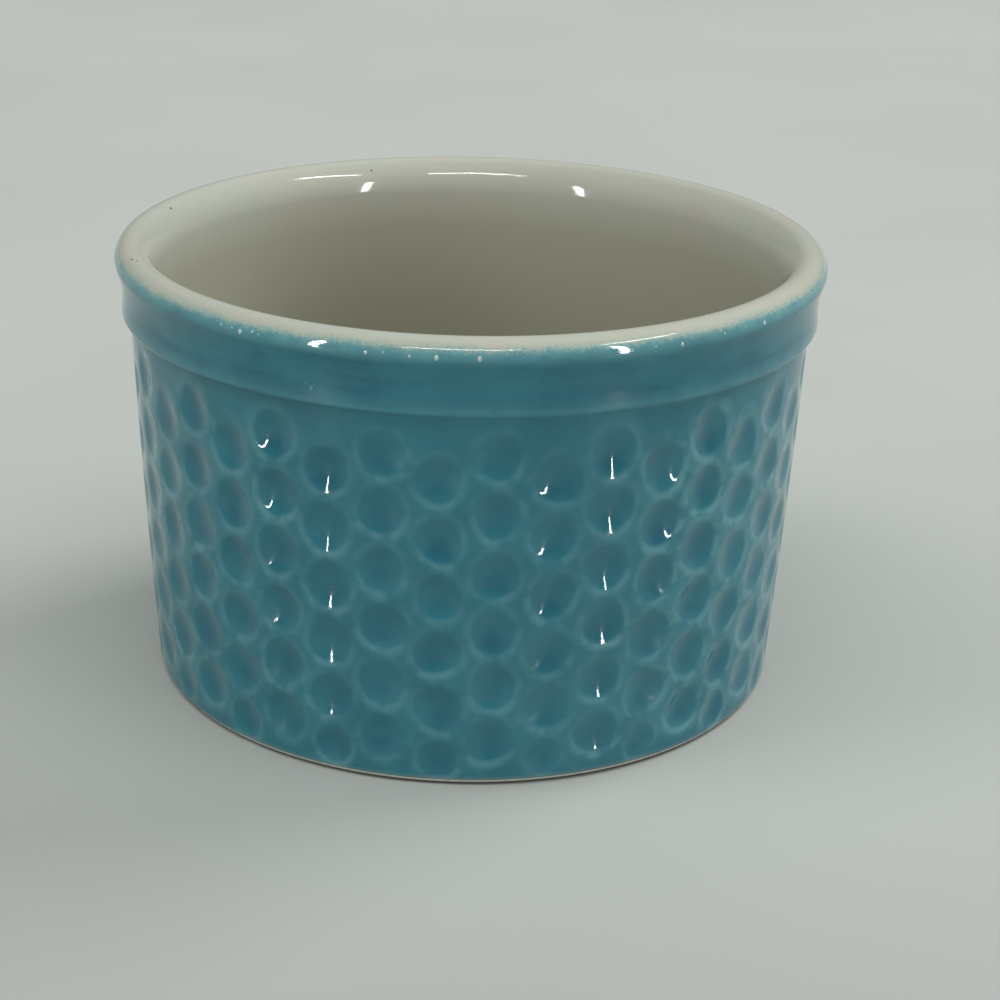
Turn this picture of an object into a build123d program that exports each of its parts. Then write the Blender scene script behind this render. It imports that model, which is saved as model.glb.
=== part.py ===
from build123d import *
import math
import os

# A round ramekin of glazed stoneware, in millimetres.
# +Z is up. The origin is on the table, at the centre of the foot.
# The outside sizes are those of the fired, glazed vessel, and the clay lies one glaze thickness inside them.

# The whole vessel
rim_diameter = 101.6
rim_height = 64.2

# The rim, a rounded lip that overhangs the band
lip_rounding = 2.4
lip_inner_rounding = 6.5
lip_undercut_angle = 20

# The band, a smooth cove below the lip that ends in a small step over the wall
band_height = 10.3
cove_rounding = 13.0
step_depth = 1.0
step_edge_rounding = 0.6
step_corner_rounding = 0.5

# The wall, which widens from the foot to the band
wall_draft_angle = 2.95
wall_thickness = 4.4

# The inside floor
floor_height = 5.6
floor_corner_rounding = 6.0

# The foot, a bare ring of clay round a shallow recess
bare_foot_height = 0.75
foot_edge_rounding = 0.4
foot_ring_width = 4.0
recess_depth = 1.0
recess_slope_angle = 45

# The glaze
glaze_thickness = 0.4
glaze_meeting_angle = 30

# The dimples, each the print of a ball, in staggered columns
dimple_ball_radius = 10.0
dimple_row_pitch = 8.35
dimple_ridge_width = 0.95
dimple_top_margin = 1.9
dimple_foot_margin = 0.4
column_pitch_share = 0.892
low_column_drop_share = 0.4
smallest_dimple_share = 0.5
first_column_angle = 5.1

# The beads of white glaze that lie on the turquoise just below the lip's white
bead_radius = 0.5
bead_rise = 0.25
bead_angle = 8
bead_columns = (-34.8, -14.5, -8.2, -4.4, 1.6, 32.0, 49.0, 118.0, 162.0, 231.0)


def on_circle(centre, radius, angle):
    """A point on a circle in the half section, as radius and height."""
    turn = math.radians(angle)
    return (centre[0] + radius * math.cos(turn), centre[1] + radius * math.sin(turn))


def arc(centre, radius, start, end):
    """An arc in the half section, between two angles."""
    return CenterArc(centre, radius, start, end - start)


# Places worked out from the sizes
draft_slope = math.tan(math.radians(wall_draft_angle))
draft_cosine = math.cos(math.radians(wall_draft_angle))
lip_centre = (rim_diameter / 2 - lip_rounding, rim_height - lip_rounding)
cove_centre = on_circle(lip_centre, lip_rounding + cove_rounding, -lip_undercut_angle)
neck_radius = cove_centre[0] - cove_rounding
band_bottom = rim_height - band_height
wall_top_radius = neck_radius - step_depth


def wall_radius(height):
    """The outside radius of the glazed wall at a height, over the ridges between the dimples."""
    return wall_top_radius - (band_bottom - height) * draft_slope


def inner_wall_radius(height):
    """The inside radius of the glazed wall at a height."""
    return wall_radius(height) - wall_thickness / draft_cosine


# The step under the band: its outer edge is tangent to the cove, and its inner corner to the wall
edge_sine = (cove_centre[1] - step_edge_rounding - band_bottom) / (cove_rounding + step_edge_rounding)
flare_angle = math.degrees(math.asin(edge_sine))
edge_centre = on_circle(cove_centre, cove_rounding + step_edge_rounding, 180 + flare_angle)
corner_height = band_bottom - step_corner_rounding
corner_centre = (wall_radius(corner_height) + step_corner_rounding / draft_cosine, corner_height)

# The inside of the lip: an arc tangent to the lip's round and to the inner wall
lip_gap = (lip_centre[0] - inner_wall_radius(lip_centre[1])) * draft_cosine
inner_lip_reach = lip_inner_rounding - lip_rounding
inner_lip_turn = math.degrees(math.acos((lip_inner_rounding - lip_gap) / inner_lip_reach))
inner_lip_angle = -wall_draft_angle - inner_lip_turn
inner_lip_centre = on_circle(lip_centre, inner_lip_reach, inner_lip_angle)

# The round between the inside wall and the floor
floor_round_height = floor_height + floor_corner_rounding
floor_round_radius = inner_wall_radius(floor_round_height) - floor_corner_rounding / draft_cosine
floor_round_centre = (floor_round_radius, floor_round_height)

# The foot ring
foot_outer_radius = wall_radius(0) - glaze_thickness / draft_cosine
foot_contact_radius = foot_outer_radius - foot_edge_rounding
recess_edge_radius = foot_contact_radius - foot_ring_width
recess_radius = recess_edge_radius - recess_depth * math.tan(math.radians(recess_slope_angle))

# The dimples
dimple_half_height = (dimple_row_pitch - dimple_ridge_width) / 2
high_column_top = band_bottom - dimple_top_margin - dimple_half_height
low_column_top = high_column_top - dimple_row_pitch * low_column_drop_share
lowest_dimple_edge = bare_foot_height + dimple_foot_margin
middle_circumference = 2 * math.pi * wall_radius(band_bottom / 2)
column_pairs = round(middle_circumference / (2 * dimple_row_pitch * column_pitch_share))
slice_turn = 360 / column_pairs
column_turn = slice_turn / 2


def outer_line(inset, bottom):
    """The outside in the half section, from a height on the wall up to where the glazes meet."""
    wall_start = (wall_radius(bottom) - inset / draft_cosine, bottom)
    wall_end = on_circle(corner_centre, step_corner_rounding + inset, 180 - wall_draft_angle)
    corner_end = on_circle(corner_centre, step_corner_rounding + inset, 90)
    edge_start = on_circle(edge_centre, step_edge_rounding - inset, -90)
    return [
        Line(wall_start, wall_end),
        arc(corner_centre, step_corner_rounding + inset, 180 - wall_draft_angle, 90),
        Line(corner_end, edge_start),
        arc(edge_centre, step_edge_rounding - inset, -90, flare_angle),
        arc(cove_centre, cove_rounding + inset, 180 + flare_angle, 180 - lip_undercut_angle),
        arc(lip_centre, lip_rounding - inset, -lip_undercut_angle, glaze_meeting_angle),
    ]


def inner_line(inset):
    """The inside in the half section, from where the glazes meet, over the rim, to the floor's centre."""
    lip_end_angle = inner_lip_angle + 180
    wall_start = on_circle(inner_lip_centre, lip_inner_rounding - inset, 180 - wall_draft_angle)
    wall_end = on_circle(floor_round_centre, floor_corner_rounding + inset, -wall_draft_angle)
    floor_start = on_circle(floor_round_centre, floor_corner_rounding + inset, -90)
    return [
        arc(lip_centre, lip_rounding - inset, glaze_meeting_angle, lip_end_angle),
        arc(inner_lip_centre, lip_inner_rounding - inset, lip_end_angle, 180 - wall_draft_angle),
        Line(wall_start, wall_end),
        arc(floor_round_centre, floor_corner_rounding + inset, -wall_draft_angle, -90),
        Line(floor_start, (0, floor_height - inset)),
    ]


def turned(edges):
    """The solid that a closed half section sweeps when it is turned about the vessel's axis."""
    return revolve(Plane.XZ * make_face(edges), axis=Axis.Z)


def slice_turned(edges):
    """One slice of such a solid, as wide as a high and a low column of dimples."""
    slice_start = first_column_angle - column_turn / 2 - 90
    slice_piece = revolve(Plane.XZ * make_face(edges), axis=Axis.Z, revolution_arc=slice_turn)
    return Rot(0, 0, slice_start) * slice_piece


def all_slices(slice_piece):
    """The whole round made of one slice: its outer faces are repeated about the axis and closed."""
    outer_faces = []
    for face in slice_piece.faces():
        flat = face.geom_type == GeomType.PLANE
        if not flat or abs(face.normal_at().Z) > math.sin(math.radians(wall_draft_angle)):
            outer_faces.append(face)
    round_faces = []
    for number in range(column_pairs):
        for face in outer_faces:
            round_faces.append(Rot(0, 0, number * slice_turn) * face)
    return Solid(Shell(round_faces))


def column_dimples(top_height):
    """The dimples of one column, from the top down, as pairs of centre height and half height."""
    found = []
    centre = top_height
    while True:
        top_edge = centre + dimple_half_height
        bottom_edge = max(centre - dimple_half_height, lowest_dimple_edge)
        half_height = (top_edge - bottom_edge) / 2
        if half_height < dimple_half_height * smallest_dimple_share:
            return found
        found.append((bottom_edge + half_height, half_height))
        centre = centre - dimple_row_pitch


def dimple_depth(half_height):
    """How deep the ball is pressed for a dimple of this half height."""
    return dimple_ball_radius - math.sqrt(dimple_ball_radius**2 - half_height**2)


def dimple_plug(half_height, inset):
    """What one dimple takes away: the end of a ball, on a short stem that reaches out past the wall."""
    ball_radius = dimple_ball_radius + inset
    pole = -dimple_depth(half_height) - inset
    stem_radius = half_height + dimple_ridge_width / 2
    stem_foot = pole + ball_radius - math.sqrt(ball_radius**2 - stem_radius**2)
    stem_top = stem_foot + half_height
    ball_centre = (0, pole + ball_radius)
    middle_turn = math.degrees(math.asin(stem_radius / ball_radius)) / 2
    middle_point = on_circle(ball_centre, ball_radius, middle_turn - 90)
    edges = [
        ThreePointArc((0, pole), middle_point, (stem_radius, stem_foot)),
        Line((stem_radius, stem_foot), (stem_radius, stem_top)),
        Line((stem_radius, stem_top), (0, stem_top)),
        Line((0, stem_top), (0, pole)),
    ]
    return turned(edges)


def slice_plugs(inset):
    """The plugs of one slice's two columns and of the columns beside them, set square to the wall."""
    plugs = []
    for column in (-1, 0, 1, 2):
        angle = first_column_angle + column * column_turn - 90
        top_height = low_column_top if column % 2 else high_column_top
        for centre_height, half_height in column_dimples(top_height):
            place = Pos(wall_radius(centre_height), 0, centre_height)
            square_to_wall = Rot(0, 90 + wall_draft_angle, 0)
            plugs.append(Rot(0, 0, angle) * place * square_to_wall * dimple_plug(half_height, inset))
    return plugs


def body_slice():
    """A slice of the fired clay vessel, dimpled outside, with its bare foot ring and recess."""
    foot_centre = (foot_contact_radius, foot_edge_rounding)
    foot_edge_middle = on_circle(foot_centre, foot_edge_rounding, -45)
    foot_edge_top = (wall_radius(foot_edge_rounding) - glaze_thickness / draft_cosine, foot_edge_rounding)
    edges = [
        *outer_line(glaze_thickness, foot_edge_rounding),
        *inner_line(glaze_thickness),
        Line((0, floor_height - glaze_thickness), (0, recess_depth)),
        Line((0, recess_depth), (recess_radius, recess_depth)),
        Line((recess_radius, recess_depth), (recess_edge_radius, 0)),
        Line((recess_edge_radius, 0), (foot_contact_radius, 0)),
        ThreePointArc((foot_contact_radius, 0), foot_edge_middle, foot_edge_top),
    ]
    return slice_turned(edges) - slice_plugs(glaze_thickness)


def outer_glaze_slice(clay):
    """A slice of the turquoise coat, which follows the clay from the bare foot to the edge of the lip."""
    blank_depth = 2 * glaze_thickness + dimple_depth(dimple_half_height)
    meeting_point = on_circle(lip_centre, lip_rounding, glaze_meeting_angle)
    upper_back = (wall_radius(band_bottom) - blank_depth, band_bottom)
    lower_back = (wall_radius(bare_foot_height) - blank_depth, bare_foot_height)
    edges = [
        *outer_line(0, bare_foot_height),
        Line(meeting_point, lip_centre),
        Line(lip_centre, upper_back),
        Line(upper_back, lower_back),
        Line(lower_back, (wall_radius(bare_foot_height), bare_foot_height)),
    ]
    return slice_turned(edges) - slice_plugs(0) - clay


def make_liner_glaze():
    """The white coat over the rim, down the inside and across the floor."""
    meeting_point = on_circle(lip_centre, lip_rounding, glaze_meeting_angle)
    meeting_back = on_circle(lip_centre, lip_rounding - glaze_thickness, glaze_meeting_angle)
    edges = [
        *inner_line(0),
        *inner_line(glaze_thickness),
        Line(meeting_point, meeting_back),
        Line((0, floor_height), (0, floor_height - glaze_thickness)),
    ]
    return turned(edges)


def make_underside_glaze():
    """The thin coat in the recess under the base."""
    low_height = recess_depth - glaze_thickness
    low_radius = recess_radius + glaze_thickness * math.tan(math.radians(recess_slope_angle))
    edges = [
        Line((0, recess_depth), (recess_radius, recess_depth)),
        Line((recess_radius, recess_depth), (low_radius, low_height)),
        Line((low_radius, low_height), (0, low_height)),
        Line((0, low_height), (0, recess_depth)),
    ]
    return turned(edges)


def make_beads():
    """Raised drops of white glaze, each a shallow dome that sits on the turquoise under the lip."""
    dome_radius = (bead_radius**2 + bead_rise**2) / (2 * bead_rise)
    seat = on_circle(lip_centre, lip_rounding, bead_angle)
    dome_centre = on_circle(seat, dome_radius - bead_rise, bead_angle + 180)
    lip = Pos(0, 0, lip_centre[1]) * Torus(lip_centre[0], lip_rounding)
    dome = Pos(dome_centre[0], 0, dome_centre[1]) * Sphere(dome_radius) - lip
    bead = dome.solids().sort_by(Axis.X)[-1]
    return Compound(children=[Rot(0, 0, column - 90) * bead for column in bead_columns])


def main():
    clay = body_slice()
    pieces = {
        "stoneware_body": all_slices(clay),
        "turquoise_outer_glaze": all_slices(outer_glaze_slice(clay)),
        "white_liner_glaze": make_liner_glaze(),
        "underside_glaze": make_underside_glaze(),
        "rim_glaze_beads": make_beads(),
    }
    os.makedirs("parts", exist_ok=True)
    for name, piece in pieces.items():
        export_step(piece, f"parts/{name}.step")
        print(name, "volume", round(piece.volume, 1), "mm3")


main()
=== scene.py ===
# %% [markdown]
# # A glazed stoneware ramekin
# The real thing is one fired clay vessel under three coats of glaze: turquoise outside, white
# inside and over the rim, and a thin coat in the recess under the base. Its foot ring is bare.
# Here each coat is a closed shell of its own, turned from a half outline as on a lathe, and the
# dimples are pressed into the turquoise shell as a ball would press them into soft clay.
# The frame comes first: it holds the measured vessel, and every piece below is fitted to it.

# %% The frame
import math
import random

import bmesh
import bpy
import numpy
from mathutils import Matrix, Vector


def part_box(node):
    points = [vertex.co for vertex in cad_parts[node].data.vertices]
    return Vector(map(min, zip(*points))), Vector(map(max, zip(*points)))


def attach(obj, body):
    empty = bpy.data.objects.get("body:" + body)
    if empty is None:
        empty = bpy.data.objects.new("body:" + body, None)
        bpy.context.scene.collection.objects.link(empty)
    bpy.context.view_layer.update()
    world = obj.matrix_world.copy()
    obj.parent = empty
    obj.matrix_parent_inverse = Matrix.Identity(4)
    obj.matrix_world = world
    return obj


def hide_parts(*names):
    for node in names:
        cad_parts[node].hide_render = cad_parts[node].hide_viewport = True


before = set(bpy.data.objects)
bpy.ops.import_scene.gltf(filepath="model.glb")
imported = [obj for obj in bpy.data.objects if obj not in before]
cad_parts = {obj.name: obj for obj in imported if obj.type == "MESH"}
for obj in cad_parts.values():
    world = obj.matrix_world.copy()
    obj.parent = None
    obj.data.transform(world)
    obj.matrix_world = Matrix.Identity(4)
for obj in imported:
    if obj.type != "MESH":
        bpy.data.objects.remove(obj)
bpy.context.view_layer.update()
mm = 0.001

# %% [markdown]
# ## The sizes
# Two sizes come from the frame: how far out the lip reaches and how high it stands. The others
# are the roundings, the band and the wall, the same as in the measured vessel. A point of the
# vessel's half section is a pair: its distance from the axis and its height.

# %% The sizes of the vessel
rim_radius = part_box("turquoise_outer_glaze")[1].x
rim_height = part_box("white_liner_glaze")[1].z
lip_rounding = 2.4 * mm
lip_inner_rounding = 6.5 * mm
lip_undercut_angle = 20
band_height = 10.3 * mm
cove_rounding = 13.0 * mm
step_depth = 1.0 * mm
step_edge_rounding = 0.6 * mm
step_corner_rounding = 0.5 * mm
wall_draft_angle = 2.95
wall_thickness = 4.4 * mm
wall_belly = 0.22 * mm
floor_height = 5.6 * mm
floor_corner_rounding = 6.0 * mm
bare_foot_height = 0.75 * mm
foot_edge_rounding = 0.4 * mm
foot_ring_width = 4.0 * mm
recess_depth = 1.0 * mm
glaze_thickness = 0.4 * mm
glaze_meeting_angle = 30
print("the lip reaches", round(rim_radius / mm, 2), "mm out and", round(rim_height / mm, 2), "mm up")

# %% [markdown]
# ## Where the curves meet
# The lip is a circle, the cove below it another, and the wall a cone that swells a little in
# its middle. With one small helper that finds a point on a circle, the place where each curve
# hands over to the next is worked out and never guessed, so the outline has no kink.

# %% The curves of the half section
def on_circle(centre, radius, angle):
    """A point on a circle of the half section, as distance from the axis and height."""
    turn = math.radians(angle)
    return (centre[0] + radius * math.cos(turn), centre[1] + radius * math.sin(turn))


lip_centre = (rim_radius - lip_rounding, rim_height - lip_rounding)
cove_centre = on_circle(lip_centre, lip_rounding + cove_rounding, -lip_undercut_angle)
band_bottom = rim_height - band_height
wall_top_radius = cove_centre[0] - cove_rounding - step_depth
draft_slope = math.tan(math.radians(wall_draft_angle))
draft_cosine = math.cos(math.radians(wall_draft_angle))


def cone_radius(height):
    """The radius of the straight cone that the wall follows."""
    return wall_top_radius - (band_bottom - height) * draft_slope


def wall_radius(height):
    """The radius of the outside wall, which swells a little between foot and band."""
    return cone_radius(height) + wall_belly * math.sin(math.pi * height / band_bottom)


print("wall radius at the foot", round(wall_radius(0) / mm, 2), "mm")
print("wall radius at the band", round(wall_top_radius / mm, 2), "mm")

# %% [markdown]
# ## Drawing an outline
# A vessel made on a wheel is drawn as half an outline. By hand that is one vertex, extruded
# from point to point, and so it is here: a small plane is merged to one vertex, which is then
# extruded along arcs and lines. The outline is closed, with a front and a back, so that the
# turned shell is a solid coat with a thickness.

# %% Helpers for outlines
merge_distance = 0.01 * mm


def arc_points(centre, radius, start, end, step_length):
    """The points along an arc of the half section, about one step length apart."""
    length = abs(math.radians(end - start)) * radius
    steps = max(2, math.ceil(length / step_length))
    return [on_circle(centre, radius, start + (end - start) * n / steps) for n in range(steps + 1)]


def line_points(start, end, steps):
    """Evenly spaced points from start to end."""
    found = []
    for n in range(steps + 1):
        share = n / steps
        found.append((start[0] + (end[0] - start[0]) * share, start[1] + (end[1] - start[1]) * share))
    return found


def draw_outline(name, points):
    """A new object in edit mode that holds one outline: a vertex, extruded from point to point."""
    bpy.ops.object.select_all(action="DESELECT")
    here = points[0]
    bpy.ops.mesh.primitive_plane_add(size=mm, location=(here[0], 0, here[1]))
    piece = bpy.context.object
    piece.name = name
    piece.data.name = name
    bpy.ops.object.transform_apply(location=True, rotation=True, scale=True)
    bpy.ops.object.mode_set(mode="EDIT")
    bpy.ops.mesh.select_all(action="SELECT")
    bpy.ops.mesh.merge(type="CENTER")
    for there in points[1:]:
        step = (there[0] - here[0], 0, there[1] - here[1])
        if Vector(step).length > merge_distance:
            bpy.ops.mesh.extrude_region_move(TRANSFORM_OT_translate={"value": step})
            here = there
    return piece


print("an outline is drawn in the plane of X and Z")

# %% [markdown]
# ## Turning it
# The Spin tool would turn the outline about its axis, but it grows slow with hundreds of steps,
# so a Screw modifier makes the turn. A turn can leave the shell inside out. So its doubles are
# merged, its normals are worked out again, and its volume, which is negative when the faces
# point inwards, settles the matter.

# %% Helpers for the turn
sharp_angle = 50


def signed_volume(piece):
    """What a closed mesh holds, which is negative when its faces point inwards."""
    if piece.mode == "EDIT":
        return bmesh.from_edit_mesh(piece.data).calc_volume(signed=True)
    mesh = bmesh.new()
    mesh.from_mesh(piece.data)
    volume = mesh.calc_volume(signed=True)
    mesh.free()
    return volume


def turn_outline(piece, steps):
    """Turns the outline once round the axis, merges what meets and points the faces outwards."""
    bpy.ops.object.mode_set(mode="OBJECT")
    turn = piece.modifiers.new("turn", "SCREW")
    turn.axis = "Z"
    turn.steps = steps
    turn.render_steps = steps
    turn.use_merge_vertices = True
    turn.merge_threshold = merge_distance
    bpy.ops.object.modifier_apply(modifier=turn.name)
    bpy.ops.object.mode_set(mode="EDIT")
    bpy.ops.mesh.select_all(action="SELECT")
    bpy.ops.mesh.remove_doubles(threshold=merge_distance)
    bpy.ops.mesh.delete_loose(use_faces=False)
    bpy.ops.mesh.select_all(action="SELECT")
    bpy.ops.mesh.normals_make_consistent(inside=False)
    if signed_volume(piece) < 0:
        bpy.ops.mesh.flip_normals()
    bpy.ops.object.mode_set(mode="OBJECT")
    bpy.ops.object.shade_smooth_by_angle(angle=math.radians(sharp_angle))
    faces = len(piece.data.polygons)
    print(piece.name, faces, "faces", round(signed_volume(piece) / mm**3, 1), "cubic mm")


print("edges sharper than", sharp_angle, "degrees stay sharp")

# %% [markdown]
# ## The turquoise coat on the wall
# This is the coat with the dimples. It runs from just above the bare foot, where the glaze ends
# in a soft edge, up to the inner corner under the band. The rows of the outline are about as far
# apart as the steps of the turn: the faces are nearly square, and a round dimple stays round.
# The back of the shell is hidden against the clay, and needs no more than a straight line.

# %% The wall coat, turned
turn_steps = 720
wall_rows = 122
foot_glaze_rounding = 0.35 * mm
hidden_setback = 1.4 * mm
ledge_share = 0.1

corner_height = band_bottom - step_corner_rounding
corner_centre = (wall_radius(corner_height) + step_corner_rounding, corner_height)
glaze_foot_centre_height = bare_foot_height + foot_glaze_rounding
glaze_foot_radius = wall_radius(glaze_foot_centre_height)
glaze_foot_centre = (glaze_foot_radius - foot_glaze_rounding, glaze_foot_centre_height)
ledge_end = (corner_centre[0] + ledge_share * step_corner_rounding, band_bottom)

wall_front = arc_points(glaze_foot_centre, foot_glaze_rounding, -90, 0, foot_glaze_rounding / 2)
for row in range(1, wall_rows):
    height = glaze_foot_centre_height + (corner_height - glaze_foot_centre_height) * row / wall_rows
    wall_front.append((wall_radius(height), height))
wall_front += arc_points(corner_centre, step_corner_rounding, 180, 90, step_corner_rounding / 4)
wall_front.append(ledge_end)
wall_back = [
    (wall_top_radius - hidden_setback, band_bottom),
    (wall_radius(bare_foot_height) - hidden_setback, bare_foot_height),
    wall_front[0],
]
wall_coat = draw_outline("turquoise_wall_glaze", wall_front + wall_back)
turn_outline(wall_coat, turn_steps)

# %% [markdown]
# ## The pattern of dimples
# The dimples stand in columns round the wall, and every other column is set lower. Each one is
# the print of a ball, so its depth falls off with the square of the distance from its middle.
# The photograph shows bright strokes in the dimples of the front and soft rings at the sides,
# so the front was pressed harder. In two columns of the front the strokes are missing or
# small, so their prints are weaker again.

# %% The pattern's sizes
dimple_half_height = 3.4 * mm
dimple_half_width = 3.15 * mm
dimple_depth = 0.93 * mm
dimple_row_pitch = 8.28 * mm
dimple_top_margin = 2.2 * mm
dimple_foot_margin = 0.5 * mm
low_column_drop = 3.34 * mm
smallest_dimple_share = 0.5
column_count = 40
first_column_angle = 5.1
side_depth_share = 0.5
weak_column_shares = {38: 0.7, 3: 0.91}
front_angle = 38
side_angle = 60


def column_angle(column):
    """How far round the vessel a column of dimples stands, from the front, in degrees."""
    return first_column_angle + 360 * column / column_count


def column_depth(column):
    """How deep the dimples of a column are pressed."""
    aside = abs((column_angle(column) + 180) % 360 - 180)
    towards_side = min(1, max(0, (aside - front_angle) / (side_angle - front_angle)))
    depth = dimple_depth * (1 - (1 - side_depth_share) * towards_side)
    return depth * weak_column_shares.get(column, 1)


print("columns stand", round(360 / column_count, 1), "degrees apart")

# %% [markdown]
# ## Every dimple by itself
# Hand-made prints are never quite alike. Every dimple is moved, stretched and deepened a little,
# and its outline leans from a circle towards an oval and an egg, by random numbers with a
# fixed seed, so that each run gives the same vessel. Where the wall ends, the last dimple of a
# column is cut short, and it is shallower too, because less of the ball sank in.

# %% The list of dimples
place_wobble = 0.22 * mm
size_wobble_share = 0.05
depth_wobble_share = 0.06
outline_wobble_share = 0.05
least_paleness_share = 0.45
# the least strength of a dimple's glaze pool and its painted reflection
least_pool_and_reflection_share = 0.3
pattern_seed = 7

dice = random.Random(pattern_seed)
dimples = []
for column in range(column_count):
    angle = math.radians(column_angle(column))
    centre = band_bottom - dimple_top_margin - dimple_half_height
    centre -= low_column_drop * (column % 2)
    lowest_edge = bare_foot_height + dimple_foot_margin
    while True:
        bottom = max(centre - dimple_half_height, lowest_edge)
        half_height = (centre + dimple_half_height - bottom) / 2
        if half_height < dimple_half_height * smallest_dimple_share:
            break
        stretch = 1 + dice.uniform(-size_wobble_share, size_wobble_share)
        dimples.append({
            "angle": angle + dice.uniform(-place_wobble, place_wobble) / wall_top_radius,
            "height": bottom + half_height + dice.uniform(-place_wobble, place_wobble),
            "half_width": dimple_half_width * stretch * half_height / dimple_half_height,
            "half_height": half_height * (1 + dice.uniform(-size_wobble_share, size_wobble_share)),
            "depth": column_depth(column) * (half_height / dimple_half_height) ** 2
            * (1 + dice.uniform(-depth_wobble_share, depth_wobble_share)),
            "oval": dice.uniform(0, outline_wobble_share),
            "oval_turn": dice.uniform(0, 2 * math.pi),
            "egg": dice.uniform(0, outline_wobble_share),
            "egg_turn": dice.uniform(0, 2 * math.pi),
            "paleness": dice.uniform(least_paleness_share, 1),
            "pool_and_reflection": dice.uniform(least_pool_and_reflection_share, 1),
        })
        centre -= dimple_row_pitch
print(len(dimples), "dimples in", column_count, "columns")

# %% [markdown]
# ## How deep each point is pressed
# A print is deepest in its middle, and its edge is softened, because glaze rounds every corner
# it runs over. The same sums give three numbers for the finish: how thick the glaze lies,
# which ran down and gathered in the lower half of each dimple, with a painted reflection that
# darkens it there too; how far out of the nearest dimple the point lies; and how pale the edge
# is there, where thin glaze and a painted highlight on the side facing the light make it palest
# below the dimple. They are kept as attributes, and the material draws the crests from them: a
# thin line comes out cleaner there than on the vertices.

# %% The sums for every vertex
edge_softness_share = 0.2
# the upper part of a crest gets less of the painted highlight than the lower part
upper_crest_share = 0.34
farthest_share = 2.0
hollow_share = 0.25
# the dark lens low in each dimple: pooled glaze, and partly a painted reflection
pool_and_reflection_drop_share = 0.42
pool_and_reflection_half_width_share = 0.55
pool_and_reflection_half_height_share = 0.3
crest_reach_share = 1.6
crest_fall_power = 1.5


def dimple_fields(points):
    """For each point: depth, glaze pool with painted reflection, share out of a dimple, paleness with
    painted highlight.
    """
    angles = numpy.arctan2(points[:, 0], -points[:, 1])
    radii = numpy.hypot(points[:, 0], points[:, 1])
    depth = numpy.zeros(len(points))
    pool_and_reflection = numpy.zeros(len(points))
    nearest = numpy.full(len(points), farthest_share)
    paleness = numpy.zeros(len(points))
    for dimple in dimples:
        turn = (angles - dimple["angle"] + math.pi) % (2 * math.pi) - math.pi
        across = turn * radii / dimple["half_width"]
        up = (points[:, 2] - dimple["height"]) / dimple["half_height"]
        bearing = numpy.arctan2(up, across)
        bend = 1 + dimple["oval"] * numpy.cos(2 * bearing + dimple["oval_turn"])
        bend += dimple["egg"] * numpy.cos(3 * bearing + dimple["egg_turn"])
        share = numpy.hypot(across, up) * bend
        near = share < farthest_share
        bowl = numpy.log1p(numpy.exp((1 - share[near] ** 2) / edge_softness_share)) * edge_softness_share
        depth[near] += bowl * dimple["depth"]
        # painted reflection together with glaze pool: a dark lens in the lower part of each dimple
        lens = (across / pool_and_reflection_half_width_share) ** 2 + ((up + pool_and_reflection_drop_share) / pool_and_reflection_half_height_share) ** 2
        pool_and_reflection[near] += bowl * hollow_share
        pool_and_reflection += numpy.exp(-lens) * dimple["pool_and_reflection"] * (1 - hollow_share)
        # painted highlight: each crest is palest below its dimple, on the side that faces the light
        below = ((1 - numpy.sin(bearing)) / 2) ** crest_fall_power
        pale = dimple["paleness"] * (upper_crest_share + (1 - upper_crest_share) * below)
        weight = numpy.clip(crest_reach_share - share, 0, 1)
        paleness = numpy.maximum(paleness, pale * weight)
        nearest = numpy.minimum(nearest, share)
    return depth, pool_and_reflection, nearest, paleness


wall_points = numpy.array([vertex.co for vertex in wall_coat.data.vertices])
pressed, pooled_and_painted_darkening, nearest_edge, paleness = dimple_fields(wall_points)
print("deepest print", round(float(pressed.max()) / mm, 2), "mm")

# %% [markdown]
# ## Pressing the dimples
# A Displace modifier moves each vertex along its normal, as far as a vertex group says. So the
# depths become weights, one for each vertex on the front of the coat, and the modifier then
# presses all dimples at once. By hand this would be a weight painting under the same modifier.

# %% Weights and the Displace modifier
deepest = dimple_depth * (1 + depth_wobble_share)


def is_wall_front(points):
    """True for the points on the front of the wall coat, which the dimples may press."""
    radii = numpy.hypot(points[:, 0], points[:, 1])
    front = numpy.array([wall_radius(height) for height in points[:, 2]])
    return (radii > front - foot_glaze_rounding) & (points[:, 2] > bare_foot_height + merge_distance)


pressed[~is_wall_front(wall_points)] = 0
weights = wall_coat.vertex_groups.new(name="dimple_depth")
for index in numpy.nonzero(pressed > 0)[0]:
    weights.add([int(index)], float(min(1, pressed[index] / deepest)), "REPLACE")
bpy.ops.object.select_all(action="DESELECT")
wall_coat.select_set(True)
bpy.context.view_layer.objects.active = wall_coat
press = wall_coat.modifiers.new("press_dimples", "DISPLACE")
press.direction = "NORMAL"
press.mid_level = 0
press.strength = -deepest
press.vertex_group = "dimple_depth"
bpy.ops.object.modifier_apply(modifier=press.name)
print(wall_coat.name, round(signed_volume(wall_coat) / mm**3, 1), "cubic mm when pressed")

# %% [markdown]
# ## The turquoise coat on the band and lip
# Above the wall the coat turns out over a small step, rises almost straight, sweeps out in a
# hollow cove and rolls over the lip until it meets the white. It is drawn with short, even
# steps along each arc and turned once. Its back lies one glaze thickness behind its front.

# %% The band coat
fine_step = 0.2 * mm
back_coarseness = 4
edge_sine = (cove_centre[1] - step_edge_rounding - band_bottom) / (cove_rounding + step_edge_rounding)
flare_angle = math.degrees(math.asin(edge_sine))
edge_centre = on_circle(cove_centre, cove_rounding + step_edge_rounding, 180 + flare_angle)


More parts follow.
